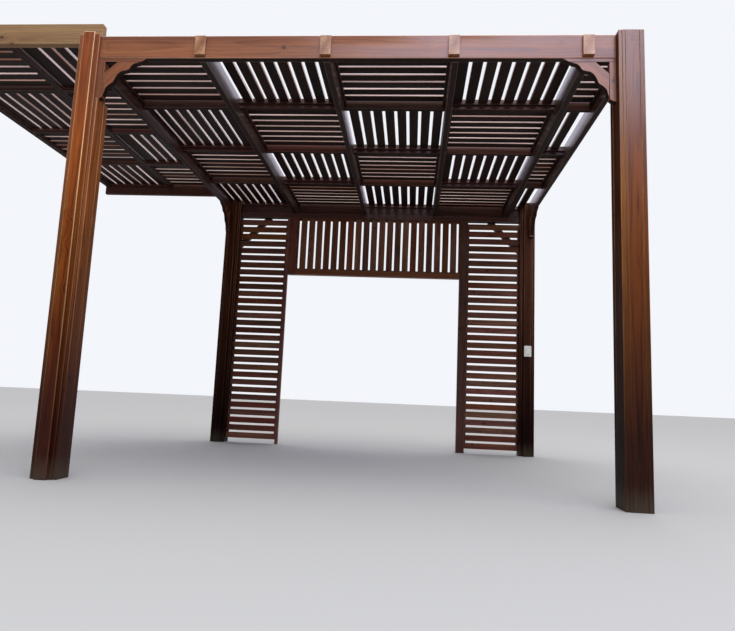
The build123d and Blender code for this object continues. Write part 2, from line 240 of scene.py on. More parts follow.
    ro = t.span(depth, 0.0, 1.0, rough[1], rough[0])
    ro = t.math("ADD", ro, t.math("MULTIPLY", t.math("SUBTRACT", blot, 0.5), 0.25))
    ro = t.math("ADD", ro, t.math("MULTIPLY", edge, 0.12), clamp=True)
    t.put(bsdf, "Roughness", ro)
    hgt = t.math("ADD", t.math("MULTIPLY", fib, 0.5), t.math("MULTIPLY", late, 0.35))
    hgt = t.math("ADD", hgt, t.math("MULTIPLY", mid, 0.7))
    hgt = t.math("SUBTRACT", hgt, t.math("MULTIPLY", knot, 0.8))
    bump = t.add("ShaderNodeBump")
    t.put(bump, "Strength", 0.35)
    t.put(bump, "Distance", 0.0012)
    t.put(bump, "Height", hgt)
    t.nt.links.new(bump.outputs[0], bsdf.inputs["Normal"])
    bsdf.inputs["IOR"].default_value = 1.48
    bsdf.inputs["Specular IOR Level"].default_value = spec
    if high == "side":                                      # rain has dulled the tops
        t.put(bsdf, "Coat Weight", t.span(t.add("ShaderNodeAttribute", attribute_name="sd").outputs["Fac"], 0.0, 1.0, 0.05, coat))
    elif high:                                              # the varnish is left only on the upper part
        t.put(bsdf, "Coat Weight", t.span(ht, 1.3, 2.1, 0.03, coat))
    else:
        bsdf.inputs["Coat Weight"].default_value = coat
    bsdf.inputs["Coat Roughness"].default_value = 0.28
    return mat


WORN = (214, 160, 118)
M_POST = wood("wood_post", (160, 96, 46), (90, 46, 20), (144, 66, 30), WORN, foot_shade_and_splash=1.0, wear=0.6, spec=0.18, coat=0.6, high=True)
M_FACE = wood("wood_post_face", (164, 98, 46), (86, 42, 18), (150, 62, 28), (238, 182, 130), foot_shade_and_splash=1.0, wear=1.3, spec=0.18, coat=0.6, high=True)
M_FLUSH = wood("wood_post_flush", (160, 92, 28), (86, 42, 12), (142, 58, 18), (210, 160, 112), foot_shade_and_splash=1.0, wear=0.55, spec=0.18, coat=0.75, high=True)
# Painted shade: a darker, duller copy of the post wood for the rear posts and the left faces of the front-right post.
M_SHADE = wood("wood_post_shade", (98, 56, 34), (54, 29, 18), (82, 38, 24), WORN, foot_shade_and_splash=1.0, wear=0.45, spec=0.06, coat=0.0)
M_CROSS = wood("wood_cross", (80, 45, 34), (42, 23, 18), (76, 36, 28), (150, 104, 84), wear=0.6, spec=0.25, coat=0.08)
M_BEAM = wood("wood_beam", (150, 90, 50), (112, 62, 34), (138, 74, 42), (220, 176, 150), wear=0.85, tone=0.2, spec=0.2, coat=0.5)
M_FRAME = wood("wood_frame", (78, 45, 36), (42, 24, 19), (74, 36, 29), (150, 108, 92), wear=0.6, spec=0.35, coat=0.85, high="side")
M_ROOF = wood("wood_roof_slat", (82, 48, 37), (46, 26, 21), (76, 38, 30), (124, 82, 62), wear=0.45, rough=(0.36, 0.6), coat=0.1, spec=0.3, painted_side_light=(236, 214, 208))
M_SCREEN = wood("wood_screen_slat", (124, 72, 46), (72, 38, 24), (114, 54, 34), (168, 112, 80), wear=0.5, rough=(0.4, 0.64), coat=0.05, spec=0.25)
M_TAIL = wood("wood_rafter_end", (156, 100, 60), (120, 74, 44), (146, 86, 54), (214, 168, 130), wear=0.8, tone=0.15, knots=0.0, spec=0.2, coat=0.5)
M_TAN = wood("wood_tan", (154, 116, 70), (122, 86, 50), (144, 98, 60), (186, 150, 106), wear=0.4, coat=0.0, rough=(0.5, 0.7), tone=0.15, spec=0.2)
M_BRACKET = wood("wood_bracket", (150, 90, 50), (112, 62, 34), (138, 74, 42), (214, 168, 138), wear=0.7, tone=0.2, spec=0.2, coat=0.5)
# Painted shade: faces turned downwards take this darker, matte copy of the wood.
M_PAINTED_SHADE_BELOW = wood("wood_underside_painted_shade", (44, 26, 22), (24, 14, 12), (40, 21, 17), (120, 84, 70), wear=0.55, coat=0.0, spec=0.12, rough=(0.5, 0.75), tone=0.25)
PAINTED_SHADE_BELOW_FOR = {M_BEAM: M_PAINTED_SHADE_BELOW, M_FRAME: M_PAINTED_SHADE_BELOW, M_ROOF: M_PAINTED_SHADE_BELOW, M_BRACKET: M_PAINTED_SHADE_BELOW, M_CROSS: M_PAINTED_SHADE_BELOW}


def metal():
    mat = bpy.data.materials.new("nail_steel")
    t = Tree(mat)
    out = t.add("ShaderNodeOutputMaterial")
    bsdf = t.add("ShaderNodeBsdfPrincipled")
    t.nt.links.new(bsdf.outputs[0], out.inputs[0])
    pos = t.add("ShaderNodeAttribute", attribute_name="gl").outputs["Vector"]
    n = t.noise(pos, 260.0, 3.0, 0.6).outputs["Fac"]
    m = t.noise(pos, 31.0, 2.0, 0.5).outputs["Fac"]
    col = t.mix(t.span(m, 0.4, 0.6), lin(92, 84, 76), lin(84, 50, 34))
    col = t.mix(t.span(n, 0.4, 0.7, 0.0, 0.7), col, lin(48, 34, 28))
    t.put(bsdf, "Base Color", col)
    t.put(bsdf, "Roughness", t.span(n, 0.3, 0.7, 0.35, 0.75))
    bump = t.add("ShaderNodeBump")
    t.put(bump, "Strength", 0.3)
    t.put(bump, "Distance", 0.0003)
    t.put(bump, "Height", n)
    t.nt.links.new(bump.outputs[0], bsdf.inputs["Normal"])
    bsdf.inputs["Metallic"].default_value = 0.75
    return mat


M_NAIL = metal()


# ---------------------------------------------------------------- boards as meshes
def rounded(poly, radius, seg):
    """A counter-clockwise outline with its outward corners rounded: (point, normal, edge) triples."""
    n = len(poly)
    out = []
    for i in range(n):
        a, b, c = poly[i - 1], poly[i], poly[(i + 1) % n]
        d1 = (b[0] - a[0], b[1] - a[1])
        d2 = (c[0] - b[0], c[1] - b[1])
        l1, l2 = math.hypot(*d1), math.hypot(*d2)
        d1 = (d1[0] / l1, d1[1] / l1)
        d2 = (d2[0] / l2, d2[1] / l2)
        n1, n2 = (d1[1], -d1[0]), (d2[1], -d2[0])
        turn = math.atan2(d1[0] * d2[1] - d1[1] * d2[0], d1[0] * d2[0] + d1[1] * d2[1])
        if turn > math.radians(34) and radius > 0:
            r = radius
            cut = r * math.tan(turn / 2)
            most = 0.45 * min(l1, l2)
            if cut > most:
                r *= most / cut
                cut = most
            s = (b[0] - d1[0] * cut, b[1] - d1[1] * cut)
            ctr = (s[0] - n1[0] * r, s[1] - n1[1] * r)
            for k in range(seg + 1):
                w = turn * k / seg
                nx = n1[0] * math.cos(w) - n1[1] * math.sin(w)
                ny = n1[0] * math.sin(w) + n1[1] * math.cos(w)
                out.append(((ctr[0] + nx * r, ctr[1] + ny * r), (nx, ny), 1.0 if 0 < k < seg else 0.0))
        elif abs(turn) < math.radians(34):
            m = (n1[0] + n2[0], n1[1] + n2[1])
            lm = math.hypot(*m)
            out.append((b, (m[0] / lm, m[1] / lm), 0.0))
        else:
            out.append((b, n1, 0.0))
            out.append((b, n2, 0.0))
    return out


class Piece:
    """One shown piece, gathered from boards, that stands for one CAD node."""

    def __init__(self, node, mat, slot="frame_wood"):
        self.node, self.slot = node, slot
        self.mats = [mat]
        self.v, self.nrm, self.f, self.mi = [], [], [], []
        self.gl, self.br, self.ed = [], [], []
        self.sd = []
        self.under = -0.97

    def mat(self, m):
        if m not in self.mats:
            self.mats.append(m)
        return self.mats.index(m)

    def sweep(self, poly, axis, t0, t1, r=3.0, seg=2, grain=None, tone=None, steps=None, warp=0.0, m=None, gdir=None, end=None, sides=1.0, left=None):
        """Sweeps an outline, given in the two axes that follow `axis`, from t0 to t1, with rounded arrises.
        grain is the axis that the wood's length runs along."""
        area = sum(poly[i - 1][0] * poly[i][1] - poly[i][0] * poly[i - 1][1] for i in range(len(poly)))
        if area < 0:
            poly = poly[::-1]
        a_ax, b_ax = CROSS[axis]
        A, B, S = AX[a_ax], AX[b_ax], AX[axis]
        prof = rounded(poly, r, seg)
        grain = grain or axis
        if gdir is None:
            ga, gb = CROSS[grain]
            GA, GB, GL = AX[ga], AX[gb], AX[grain]
        else:
            GL = Vector(gdir).normalized()
            GA = S.copy()
            GB = GL.cross(GA).normalized()
        ca = (min(p[0] for p in poly) + max(p[0] for p in poly)) / 2
        cb = (min(p[1] for p in poly) + max(p[1] for p in poly)) / 2
        mid = A * ca + B * cb + S * ((t0 + t1) / 2)
        # size across the two directions square to the grain, to set the pith off the thinner one
        ext = []
        for d in (GA, GB):
            pts = [A * p[0] + B * p[1] + S * t for p in poly for t in (t0, t1)]
            vals = [p.dot(d) for p in pts]
            ext.append(max(vals) - min(vals))
        off = rng.uniform(35, 95) * rng.choice((-1, 1))
        side = rng.uniform(-0.3, 0.3) * max(ext)
        pith = (side, off) if ext[0] >= ext[1] else (off, side)
        shift = rng.uniform(0, 60)
        if tone is None:
            tone = (rng.random(), rng.random(), rng.random())
        e = min(r, (t1 - t0) * 0.3) if end is None else end
        c45 = math.cos(math.radians(45))
        rows = [(t0, e, -1.0, 0.0), (t0 + e * (1 - c45), e * (1 - c45), -c45, 1.0), (t0 + e, 0.0, 0.0, 0.0)]
        length = t1 - t0
        if steps is None:
            steps = max(1, round(length / 300))
        for k in range(1, steps):
            rows.append((t0 + e + (length - 2 * e) * k / steps, 0.0, 0.0, 0.0))
        rows += [(t1 - e, 0.0, 0.0, 0.0), (t1 - e * (1 - c45), e * (1 - c45), c45, 1.0), (t1, e, 1.0, 0.0)]
        base = len(self.v)
        np_ = len(prof)
        ph = [rng.uniform(0, 6.28) for _ in range(4)]
        for t, inset, slope, er in rows:
            wa = wb = 0.0
            if warp:
                u = (t - t0) / max(length, 1)
                wa = warp * (math.sin(ph[0] + 3.1 * u) * 0.7 + math.sin(ph[1] + 7.3 * u) * 0.3)
                wb = warp * 0.6 * (math.sin(ph[2] + 2.7 * u) * 0.7 + math.sin(ph[3] + 6.1 * u) * 0.3)
            k = math.sqrt(max(0.0, 1 - slope * slope))
            for (pa, pb), (na, nb), ec in prof:
                x = A * (pa - na * inset + wa) + B * (pb - nb * inset + wb) + S * t
                nn = (A * na + B * nb) * k + S * slope
                rel = x - mid
                self.v.append(((x.x - OX) / 1000, (x.y - OY) / 1000, x.z / 1000))
                self.nrm.append(nn)
                self.gl.append(((rel.dot(GA) - pith[0]) / 1000, (rel.dot(GB) - pith[1]) / 1000, rel.dot(GL) / 1000 + shift))
                self.br.append((*tone, 1.0))
                self.ed.append(max(ec, er))
                # sd marks the upright faces: it carries the painted highlight on the slats' sides and the coat on the
                # rafters' sides
                self.sd.append(sides if abs(nn.z) < 0.2 else 0.0)
        top = m or self.mats[0]
        mi = self.mat(top)
        # painted shade: downward faces, and the bottom caps of upright boards, take the darker underside copy
        dark = self.mat(PAINTED_SHADE_BELOW_FOR[top]) if top in PAINTED_SHADE_BELOW_FOR else mi
        nr = len(rows)
        for j in range(nr - 1):
            for i in range(np_):
                i2 = (i + 1) % np_
                q = (base + j * np_ + i, base + j * np_ + i2, base + (j + 1) * np_ + i2, base + (j + 1) * np_ + i)
                self.f.append(q)
                if left is not None and max(self.nrm[v].x for v in q) < -0.97:
                    self.mi.append(self.mat(left))
                else:
                    self.mi.append(dark if max(self.nrm[v].z for v in q) < self.under else mi)
        caps = (dark if axis == "z" else mi, mi)
        if len(poly) <= 4:
            self.f.append(tuple(base + i for i in range(np_))[::-1])
            self.f.append(tuple(base + (nr - 1) * np_ + i for i in range(np_)))
            self.mi += caps
        else:                                               # hollow outlines are cut into triangles
            flat = [Vector((pa - na * e, pb - nb * e, 0)) for (pa, pb), (na, nb), _ in prof]
            for tri in tessellate_polygon([flat]):
                (xa, ya), (xb, yb), (xc, yc) = [flat[i].xy for i in tri]
                if (xb - xa) * (yc - ya) - (xc - xa) * (yb - ya) < 0:
                    tri = tri[::-1]
                self.f.append(tuple(base + i for i in tri[::-1]))
                self.f.append(tuple(base + (nr - 1) * np_ + i for i in tri))
                self.mi += [mi, mi]
        return self

    def board(self, x0, x1, y0, y1, z0, z1, grain, r=3.0, **kw):
        """A squared board between two corners."""
        lo, hi = {"x": x0, "y": y0, "z": z0}, {"x": x1, "y": y1, "z": z1}
        a, b = CROSS[grain]
        poly = [(lo[a], lo[b]), (hi[a], lo[b]), (hi[a], hi[b]), (lo[a], hi[b])]
        return self.sweep(poly, grain, lo[grain], hi[grain], r=r, **kw)

    def nail(self, x, y, z, axis, sign, r=3.6, proud=0.5):
        """A flat round nail head, a little proud of the board."""
        a_ax, b_ax = CROSS[axis]
        A, B, S = AX[a_ax], AX[b_ax], AX[axis] * sign
        base = len(self.v)
        mi = self.mat(M_NAIL)
        c = Vector((x, y, z))
        n = 8
        o = rng.uniform(0, 50)
        for rad, h, slope in ((r, -0.6, 0.0), (r * 0.92, proud * 0.8, 0.5), (r * 0.6, proud, 1.0)):
            for i in range(n):
                w = 2 * math.pi * i / n
                d = A * math.cos(w) + B * math.sin(w)
                p = c + d * rad + S * h
                self.v.append(((p.x - OX) / 1000, (p.y - OY) / 1000, p.z / 1000))
                self.nrm.append((d * (1 - slope) + S * slope).normalized())
                self.gl.append((d.x * rad / 1000 + o, d.y * rad / 1000 + o, d.z * rad / 1000 + o))
                self.br.append((0.5, 0.5, 0.5, 1.0))
                self.ed.append(0.0)
                self.sd.append(0.0)
        flip = sign < 0
        for j in range(2):
            for i in range(n):
                i2 = (i + 1) % n
                q = (base + j * n + i, base + j * n + i2, base + (j + 1) * n + i2, base + (j + 1) * n + i)
                self.f.append(q[::-1] if flip else q)
                self.mi.append(mi)
        cap = tuple(base + 2 * n + i for i in range(n))
        self.f.append(cap[::-1] if flip else cap)
        self.mi.append(mi)

    def done(self):
        mesh = bpy.data.meshes.new(self.node + "_wood")
        mesh.from_pydata(self.v, [], self.f)
        for m in self.mats:
            mesh.materials.append(m)
        mesh.polygons.foreach_set("material_index", self.mi)
        mesh.polygons.foreach_set("use_smooth", [True] * len(self.f))
        gl = mesh.attributes.new("gl", "FLOAT_VECTOR", "POINT")
        gl.data.foreach_set("vector", [c for p in self.gl for c in p])
        br = mesh.attributes.new("br", "FLOAT_COLOR", "POINT")
        br.data.foreach_set("color", [c for p in self.br for c in p])
        ed = mesh.attributes.new("ed", "FLOAT", "POINT")
        ed.data.foreach_set("value", self.ed)
        sd = mesh.attributes.new("sd", "FLOAT", "POINT")
        sd.data.foreach_set("value", self.sd)
        ht = mesh.attributes.new("ht", "FLOAT", "POINT")
        ht.data.foreach_set("value", [p[2] for p in self.v])
        mesh.update()
        mesh.normals_split_custom_set_from_vertices(self.nrm)
        ob = bpy.data.objects.new(self.node + "_wood", mesh)
        bpy.context.scene.collection.objects.link(ob)
        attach(ob, "root")
        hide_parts(self.node)
        return ob


# ---------------------------------------------------------------- posts
def post(name, x0, y0, rear, tones, cut=None, flush=False):
    """A core with boards on its left and right faces and a proud board up the middle of the front.
    On the flush one, strips beside that board fill the front out to the sides."""
    # painted shade: the rear posts are made of the darker copy
    p = Piece(name, M_SHADE if rear else M_POST)
    face = M_SHADE if rear else M_FACE
    a, b = x0 + SIDE_T, x0 + PX1 - PX0 - SIDE_T
    f0, f1 = (a + b - FACE_W) / 2, (a + b + FACE_W) / 2
    p.board(a, b, y0, y0 + POST_D, 0, H, "z", r=3.5, seg=3, tone=tones[0])
    # each side is a wide board and a narrow one behind it
    s0 = 0 if rear else SIDE_SET
    if flush:
        s0 = 1.5 - FACE_T
        f0, f1 = f0 - 3, f1 + 3
    # painted shade: on the flush post the faces turned to the left take the darker copy
    shade = M_SHADE if flush else None
    for u0, u1, top in ((x0, a, H), (b, b + SIDE_T, cut or H)):
        m = M_FLUSH if flush and u0 == x0 else None
        front = SIDE_SET if flush and u0 > x0 else s0
        p.board(u0, u1, y0 + front, y0 + 88, 0, top, "z", r=4, seg=3, tone=tones[1], m=m, left=shade)
        p.board(u0, u1, y0 + 88, y0 + POST_D, 0, top, "z", r=4, seg=3, tone=tones[3], m=m, left=shade)
    if flush:
        p.board(a, f0 - 0.8, y0 - FACE_T, y0, 0, H, "z", r=2, seg=3, tone=tones[0], m=M_FLUSH)
        p.board(f1 + 0.8, b + 10, y0 - FACE_T, y0 + SIDE_SET, 0, H, "z", r=3, seg=3, tone=tones[3], m=M_FLUSH)
    p.board(f0, f1, y0 - FACE_T, y0, 0, H, "z", r=2.5 if flush else 5, seg=3, tone=tones[2], m=M_FLUSH if flush else face)
    if rear:
        p.board(f0, f1, y0 + POST_D, y0 + POST_D + FACE_T, 0, H, "z", r=5, seg=3)
    return p


post("post_front_left", PX0, 0, False, [(0.5, 0.6, 0.7), (0.6, 0.5, 0.6), (0.5, 0.5, 0.8), (0.65, 0.6, 0.5)], cut=BEAM_BOTTOM - BRACKET_H).done()
post("post_front_right", W - PX1, 0, False, [(0.2, 0.6, 0.7), (0.2, 0.6, 0.7), (0.05, 0.5, 0.8), (0.1, 0.8, 0.7)], flush=True).done()
# painted shade: the rear posts also take the darkest board tones
post("post_rear_left", PX0, RP, True, [(0.0, 0.4, 0.5), (0.05, 0.3, 0.5), (0.0, 0.3, 0.5), (0.1, 0.4, 0.5)]).done()
post("post_rear_right", W - PX1, RP, True, [(0.1, 0.4, 0.5), (0.15, 0.3, 0.5), (0.1, 0.3, 0.5), (0.1, 0.4, 0.5)]).done()

# ---------------------------------------------------------------- front and rear beams
for name, x0, y0, y1, m in (("beam_front", PX1 - SIDE_T, FRONT_Y0, FRONT_Y1, M_BEAM), ("beam_rear", PX1, REAR_Y0, REAR_Y1, M_CROSS)):
    poly = [(BEAM_BOTTOM, x0), (BEAM_BOTTOM, W - PX1), (TOP, W - PX1)]
    for x in X_R[::-1]:
        poly += [(TOP, x + HALF), (TOP - LAP, x + HALF), (TOP - LAP, x - HALF), (TOP, x - HALF)]
    poly += [(TOP, x0)]
    Piece(name, m).sweep(poly, "y", y0, y1, r=4, grain="x", tone=(0.5, 0.5, 0.5)).done()

# ---------------------------------------------------------------- rafters
# The blocks on their ends are as pale as the beams.
for i, (x, xt) in enumerate(zip(X_R, X_T)):
    poly = [
        (FRONT_Y0, TOP - LAP), (FRONT_Y1, TOP - LAP), (FRONT_Y1, TOP - RAF_D), (REAR_Y0, TOP - RAF_D),
        (REAR_Y0, TOP - LAP), (REAR_Y1, TOP - LAP), (REAR_Y1, TOP), (FRONT_Y0, TOP),
    ]
    p = Piece("rafter_%d" % (i + 1), M_FRAME).sweep(poly, "x", x - HALF, x + HALF, r=3, grain="y", steps=1)
    for y0, y1 in ((FRONT_Y0 - TAIL, FRONT_Y0), (REAR_Y1, REAR_Y1 + TAIL)):
        p.board(xt - TAIL_W / 2, xt + TAIL_W / 2, y0, y1, TAIL_Z0, TAIL_Z1, "y", r=3, end=2.0, m=M_TAIL, tone=(rng.uniform(0.4, 0.8), 0.7, 0.6))
    p.done()

p = Piece("beam_left", M_FRAME)
p.board(LB0, LB1, POST_D, RP - FACE_T, TOP - SIDE_D, TOP, "y", r=3.5, tone=(0.6, 0.4, 0.3))
p.board(LB0, LB1 - 8, RP - FACE_T, RP, TOP - SIDE_D, TOP, "y", r=3.5, tone=(0.6, 0.4, 0.3), end=0.5)
p.done()
Piece("beam_right", M_FRAME).board(RB0, RB1, POST_D, RP - FACE_T, TOP - SIDE_D, TOP, "y", r=3.5).done()

for k, y in enumerate(Y_C):
    p = Piece("cross_beam_%d" % (k + 1), M_CROSS)
    for x0, x1 in COLS:
        p.board(x0, x1, y - HALF, y + HALF, TOP - CROSS_D, TOP, "x", r=3, end=1.0)
    p.done()


# ---------------------------------------------------------------- roof slats
FB_W, FB_STEP, FB_START, FB_COUNT = 65.0, 86.3, [0, 31, 22, 10, 11], [0, 8, 8, 8, 2]
GAPS_1 = [76, 156, 238, 320, 402, 484, 566, 648]
LR_W = 70.0
LR_ROWS = [(20, 89.4), (28, 90.7), (20, 90), (20, 90)]


def runs(c, x0, x1):
    """Left and right edges of the slats that run front to back in one cell."""
    if c == 0:
        return list(zip([x0] + [g + 8.5 for g in GAPS_1], [g - 8.5 for g in GAPS_1] + [x1]))
    return [(x0 + FB_START[c] + n * FB_STEP, x0 + FB_START[c] + n * FB_STEP + FB_W) for n in range(FB_COUNT[c])]


def wing_runs(c, x0, x1):
    """The same on the wing. The slat beside the rafter is a wider one."""
    out = []
    for n in range(14):
        b = -22.5 - n * 92
        a = x0 + 9 if c == 1 and n == 5 else b - 71
        if a >= x0 and b <= x1:
            out.append((a, b))
    return out


def front_to_back(p, x0, x1, y0, y1, z, slats, cut=None):
    for s0, s1 in slats:
        tone = (rng.random(), rng.random(), rng.random())
        for lo, hi, ya, yb in clip(s0, s1, y0, y1, cut):
            p.board(lo, hi, ya, yb, z, z + SLAT_T, "y", r=2.2, warp=0.8, steps=4, end=1.2, tone=tone)
            for yy in (ya + CLEAT / 2, yb - CLEAT / 2):
                for k in (0.27, 0.73):
                    if hi - lo > 40:
                        p.nail(lo + (hi - lo) * k + rng.uniform(-3, 3), yy + rng.uniform(-2, 2), z + SLAT_T, "z", 1)
    for ya, yb in ((y0, y0 + CLEAT), (y1 - CLEAT, y1)):
        for lo, hi, ca, cb in clip(x0, x1, ya, yb, cut):
            p.board(lo, hi, ca, cb, z - CLEAT, z, "x", r=1.5, end=0.8, sides=0.0)


def clip(x0, x1, y0, y1, cut):
    """The board's rectangle less the posts' squares, as one or two rectangles."""
    boxes = [(x0, x1, y0, y1)]
    for c0, c1, d0, d1 in cut or ():
        new = []
        for a0, a1, b0, b1 in boxes:
            if a1 <= c0 or a0 >= c1 or b1 <= d0 or b0 >= d1:
                new.append((a0, a1, b0, b1))
                continue
            if b0 < d0:
                new.append((a0, a1, b0, d0))
            if b1 > d1:
                new.append((a0, a1, d1, b1))
            ym, yM = max(b0, d0), min(b1, d1)
            if a0 < c0:
                new.append((a0, c0, ym, yM))
            if a1 > c1:
                new.append((c1, a1, ym, yM))
        boxes = new
    return [b for b in boxes if b[1] - b[0] > 6 and b[3] - b[2] > 6]


def left_to_right(p, x0, x1, y0, y1, z, row, cut=None):
    back, step = row
    b = y1 - back
    while b - y0 > 12:
        tone = (rng.random(), rng.random(), rng.random())
        for lo, hi, ya, yb in clip(x0, x1, max(b - LR_W, y0), b, cut):
            p.board(lo, hi, ya, yb, z, z + SLAT_T, "x", r=2.2, warp=0.8, steps=4, end=1.2, tone=tone)
            for xx in (lo + CLEAT / 2, hi - CLEAT / 2):
                for k in (0.27, 0.73):
                    if yb - ya > 40:
                        p.nail(xx + rng.uniform(-2, 2), ya + (yb - ya) * k + rng.uniform(-3, 3), z + SLAT_T, "z", 1)
        b -= step
    for xa, xb in ((x0, x0 + CLEAT), (x1 - CLEAT, x1)):
        for ca, cb, lo, hi in clip(xa, xb, y0, y1, cut):
            p.board(ca, cb, lo, hi, z - CLEAT, z, "y", r=1.5, end=0.8, sides=0.0)


POST_CUTS = {
    0: [(PX0, PX1 - SIDE_T, -1, POST_D), (PX0, PX1, RP, RP + POST_D + 1), (35, 105, RP - FACE_T, RP + 1)],
    4: [(W - PX1, W - PX0, -1, POST_D), (W - PX1, W - PX0, RP, RP + POST_D + 1), (W - 105, W - 35, RP - FACE_T, RP + 1)],
}
for c, (x0, x1) in enumerate(COLS):
    p = Piece("roof_slats_%d" % (c + 1), M_ROOF, "slat_wood")
    for r, (y0, y1) in enumerate(ROWS):
        if (r + c) % 2 == 1:
            front_to_back(p, x0, x1, y0, y1, Z_SLAT, runs(c, x0, x1), cut=POST_CUTS.get(c))
        else:
            left_to_right(p, x0, x1, y0, y1, Z_SLAT, LR_ROWS[r], cut=POST_CUTS.get(c))
    p.done()

# ---------------------------------------------------------------- side wing
Piece("wing_beam_front", M_TAN).board(WING_X0, WING_END, WF0, WF1, H, WTOP, "x", r=3.5).done()
Piece("wing_beam_rear", M_CROSS).board(WING_X0, LB1, WR0, WRR1, TOP, WTOP, "x", r=3.5).done()
WY0, WY1 = WF1, WR0
Piece("wing_bearer", M_FRAME).board(WE0, WE1, WY0, WY1, TOP, WTOP, "y", r=3.5, end=1.0).done()
Piece("wing_rafter", M_FRAME).board(WR1 - HALF, WR1 + HALF, WY0, WY1, WTOP - WING_D, WTOP, "y", r=3, end=1.0).done()
Piece("wing_edge_beam", M_FRAME).board(WR2 - HALF, WR2 + HALF, WY0, WY1, WTOP - WING_D, WTOP, "y", r=3, end=1.0).done()
WCOLS = [(WR2 + HALF, WR1 - HALF), (WR1 + HALF, WE0)]
for k, y in enumerate(WY_C):
    p = Piece("wing_cross_beam_%d" % (k + 1), M_CROSS)
    for x0, x1 in WCOLS:
        p.board(x0, x1, y - HALF, y + HALF, WTOP - WING_D, WTOP, "x", r=3, end=1.0)
    p.done()
WROWS = [(WY0, WY_C[0] - HALF), (WY_C[0] + HALF, WY_C[1] - HALF), (WY_C[1] + HALF, WY_C[2] - HALF), (WY_C[2] + HALF, WY1)]
for c, (x0, x1) in enumerate(WCOLS):
    p = Piece("wing_slats_%s" % ("left", "right")[c], M_ROOF, "slat_wood")
    for r, (y0, y1) in enumerate(WROWS):
        if (r + c) % 2 == 1:
            front_to_back(p, x0, x1, y0, y1, Z_SLAT + WING_UP, wing_runs(c, x0, x1))
        else:
            left_to_right(p, x0, x1, y0, y1, Z_SLAT + WING_UP, LR_ROWS[3])
    p.done()

# ---------------------------------------------------------------- rear screen
S_Y0, S_Y1 = 3000.0, 3020.0
RAIL_Y0, RAIL_Y1 = 2985.0, 3055.0
RAIL_TOP0, RAIL_LOW0, RAIL_LOW1 = 2378.0, 1765.0, 1819.0
TRIM0, TRIM1, STILE1, MID0, MID1 = 652.0, 680.0, 765.0, 2485.0, 2565.0
Piece("screen_top_rail", M_CROSS).board(PX1, W - PX1, RAIL_Y0, RAIL_Y1, RAIL_TOP0, BEAM_BOTTOM, "x", r=3).done()
Piece("header_rail", M_SCREEN).board(STILE1, MID0, RAIL_Y0, RAIL_Y1, RAIL_LOW0, RAIL_LOW1, "x", r=3, end=1).done()
Piece("screen_trim_left", M_SCREEN).board(TRIM0, TRIM1, S_Y0 - 12, S_Y1 + 12, 0, RAIL_TOP0, "z", r=3).done()
Piece("header_stile", M_SCREEN).board(TRIM1, STILE1, RAIL_Y0, RAIL_Y1, RAIL_LOW0, RAIL_TOP0, "z", r=3).done()
Piece("post_middle", M_CROSS).board(MID0, MID1, RAIL_Y0 - 5, RAIL_Y1 + 5, 0, RAIL_TOP0, "z", r=4).done()
for name, x0, x1 in (("screen_slats_left", PX1, TRIM0), ("screen_slats_right", MID1, W - PX1)):
    p = Piece(name, M_SCREEN, "slat_wood")
    for n in range(30):
        z = 45 + 77.6 * n
        p.board(x0, x1, S_Y0, S_Y1, z, z + 57, "x", r=2.2, warp=0.9, steps=4, end=1.0)
        for xx in (x0 + CLEAT / 2, x1 - CLEAT / 2):
            for k in (0.3, 0.7):
                p.nail(xx + rng.uniform(-2, 2), S_Y0, z + 57 * k + rng.uniform(-2, 2), "y", -1, r=3.2)
    for a in (x0, x1 - CLEAT):
        p.board(a, a + CLEAT, S_Y1, S_Y1 + CLEAT, 45, 45 + 29 * 77.6 + 57, "z", r=1.5)
    p.done()
p = Piece("header_slats", M_SCREEN, "slat_wood")
cells = [(STILE1, STILE1 + 16), (MID0 - 16, MID0)]
cells += [(STILE1 + 36 + n * 83.4, STILE1 + 36 + n * 83.4 + 63.4) for n in range(20)]
for a, b in cells:
    p.board(a, b, S_Y0, S_Y1, RAIL_LOW1, RAIL_TOP0, "z", r=2.2, warp=0.8 if b - a > 20 else 0.0, steps=4, end=1.0)
    if b - a > 20:
        for zz in (RAIL_LOW1 + 9, RAIL_TOP0 - 9):
            for k in (0.27, 0.73):
                p.nail(a + (b - a) * k + rng.uniform(-2, 2), S_Y0, zz + rng.uniform(-2, 2), "y", -1, r=3.2)
for z in (RAIL_LOW1, RAIL_TOP0 - CLEAT):
    p.board(STILE1, MID0, S_Y1, S_Y1 + CLEAT, z, z + CLEAT, "x", r=1.5)
p.done()

LEG, BR_W = 330.0, 80.0
for name, s, xp in (("brace_rear_left", 1, PX1), ("brace_rear_right", -1, W - PX1)):
    pts = [(xp, RAIL_TOP0 - LEG), (xp + s * LEG, RAIL_TOP0), (xp + s * (LEG - BR_W), RAIL_TOP0), (xp, RAIL_TOP0 - LEG + BR_W)]
    Piece(name, M_FRAME).sweep([(z, x) for x, z in pts], "y", 3040, 3076, r=3, gdir=(s, 0, 1)).done()

# ---------------------------------------------------------------- carved brackets
OGEE = [(288, 0), (262, 16), (236, 26), (212, 32), (194, 48), (184, 66), (164, 74), (142, 78), (120, 94), (104, 122), (92, 148), (72, 162), (52, 184), (43, 214), (34, 240), (14, 252), (0, 254)]


